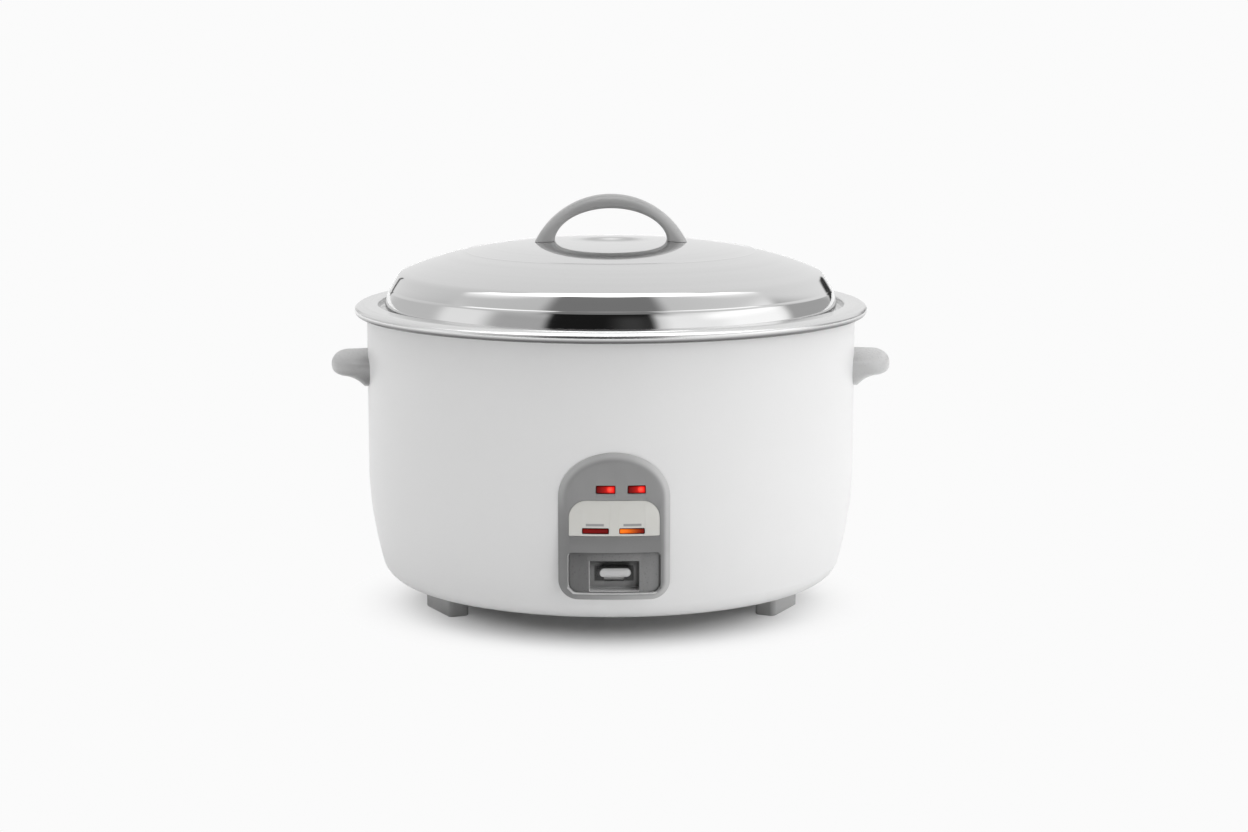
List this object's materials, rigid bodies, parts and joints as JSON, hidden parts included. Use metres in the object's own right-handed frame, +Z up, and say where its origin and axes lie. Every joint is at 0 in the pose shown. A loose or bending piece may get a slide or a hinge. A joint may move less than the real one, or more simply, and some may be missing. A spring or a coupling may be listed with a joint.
{
  "type": "rice cooker",
  "caption": "Large free-standing rice cooker: white drum housing, lift-out pot, domed steel lid with arch handle, side grips and a front panel with a cook lever.",
  "frame": {"origin": "on the supporting surface, below the axis of the round housing", "axes": "+Z up, front panel and lever face -Y, side handles lie along X"},
  "size_m": [0.438, 0.3998, 0.321],
  "materials": {
    "lid_steel": "mirror-polished spun stainless steel, brushed in rings at the centre",
    "grey_plastic": "satin grey moulded plastic",
    "white_paint": "satin white baked enamel",
    "pot_aluminium": "satin spun aluminium",
    "cast_aluminium": "turned cast aluminium",
    "sheet_aluminium": "mill-finish sheet",
    "zinc_steel": "zinc-plated steel",
    "element_steel": "heat-tinted steel sheath",
    "face_plastic": "satin mid-grey moulded plastic",
    "label_cream": "smooth cream plate",
    "knob_plastic": "glossy pale grey plastic",
    "lamp_red": "clear red lens",
    "lens_dark_red": "clear dark red lens",
    "lens_amber": "clear amber lens",
    "black_plastic": "black moulded plastic",
    "pale_plastic": "natural moulded plastic",
    "silicone": "silicone rubber",
    "mica_band": "woven glass tape over a heating wire",
    "ferrite": "sintered ferrite",
    "brass": "plated brass",
    "wire_jacket": "silicone-insulated wire",
    "lamp_glass": "small neon lamp",
    "button_red": "moulded plastic"
  },
  "bodies": {
    "housing": {"outer_shell": "white_paint", "inner_liner": "sheet_aluminium", "base_plate": "zinc_steel", "base_screws": "zinc_steel", "foot_front_left": "grey_plastic", "foot_front_right": "grey_plastic", "foot_rear_left": "grey_plastic", "foot_rear_right": "grey_plastic", "foot_screws": "zinc_steel", "heating_plate": "cast_aluminium", "heating_element": "element_steel", "plate_posts": "zinc_steel", "plate_screws": "zinc_steel", "warm_band": "mica_band", "keep_warm_thermostat": "black_plastic", "thermal_fuse": "brass", "fuse_bracket": "zinc_steel", "side_handle_left": "grey_plastic", "side_handle_right": "grey_plastic", "side_handle_plates": "zinc_steel", "side_handle_screws": "zinc_steel", "panel_housing": "grey_plastic", "lever_tray": "face_plastic", "label_plate": "label_cream", "lamp_lens_left": "lamp_red", "lamp_lens_right": "lamp_red", "cook_window": "lens_dark_red", "warm_window": "lens_amber", "lamp_holder": "pale_plastic", "neon_lamps": "lamp_glass", "panel_screws": "zinc_steel", "lever_bracket": "zinc_steel", "lever_pin": "zinc_steel", "lever_spring": "zinc_steel", "microswitch_body": "black_plastic", "sensor_housing": "zinc_steel", "sensor_spring": "zinc_steel", "sensor_screws": "zinc_steel", "inlet_socket": "black_plastic", "inlet_pins": "brass", "inlet_screws": "zinc_steel", "terminal_block": "pale_plastic", "wiring": "wire_jacket"},
    "lid": {"lid_shell": "lid_steel", "lid_handle": "grey_plastic", "lid_handle_washers": "silicone", "lid_handle_screws": "zinc_steel"},
    "pot": {"inner_pot": "pot_aluminium"},
    "lever": {"cook_lever": "zinc_steel", "lever_knob": "knob_plastic"},
    "magnet_plunger": {"magnet": "ferrite", "magnet_rod": "brass"},
    "switch_button": {"microswitch_button": "button_red"},
    "sensor": {"sensor_cap": "sheet_aluminium", "sensor_ferrite": "ferrite"}
  },
  "joints": [
    {"name": "pot_lift", "type": "slide", "parent": "housing", "child": "pot", "axis": [0, 0, 1], "range_m": [0, 0.2]},
    {"name": "lid_lift", "type": "slide", "parent": "pot", "child": "lid", "axis": [0, 0, 1], "range_m": [0, 0.15]},
    {"name": "cook_lever_press", "type": "hinge", "parent": "housing", "child": "lever", "pos_m": [0, -0.095, 0.042], "axis": [1, 0, 0], "range_deg": [0, 4.5], "stiffness_Nm_per_rad": 1.5, "springref_deg": -5.73, "deforming": ["lever_spring"]},
    {"name": "magnet_rise", "type": "slide", "parent": "housing", "child": "magnet_plunger", "axis": [0, 0, 1], "range_m": [0, 0.0076]},
    {"name": "switch_press", "type": "slide", "parent": "housing", "child": "switch_button", "axis": [0, 0, -1], "range_m": [0, 0.0021]},
    {"name": "sensor_rise", "type": "slide", "parent": "housing", "child": "sensor", "axis": [0, 0, 1], "range_m": [0, 0.0026], "deforming": ["sensor_spring"]}
  ],
  "couplings": [
    {"joint": "magnet_rise", "follows": "cook_lever_press", "m_per_rad": 0.095},
    {"joint": "switch_press", "follows": "cook_lever_press", "m_per_rad": 0.025},
    {"joint": "sensor_rise", "follows": "pot_lift", "ratio": 0.0125}
  ]
}
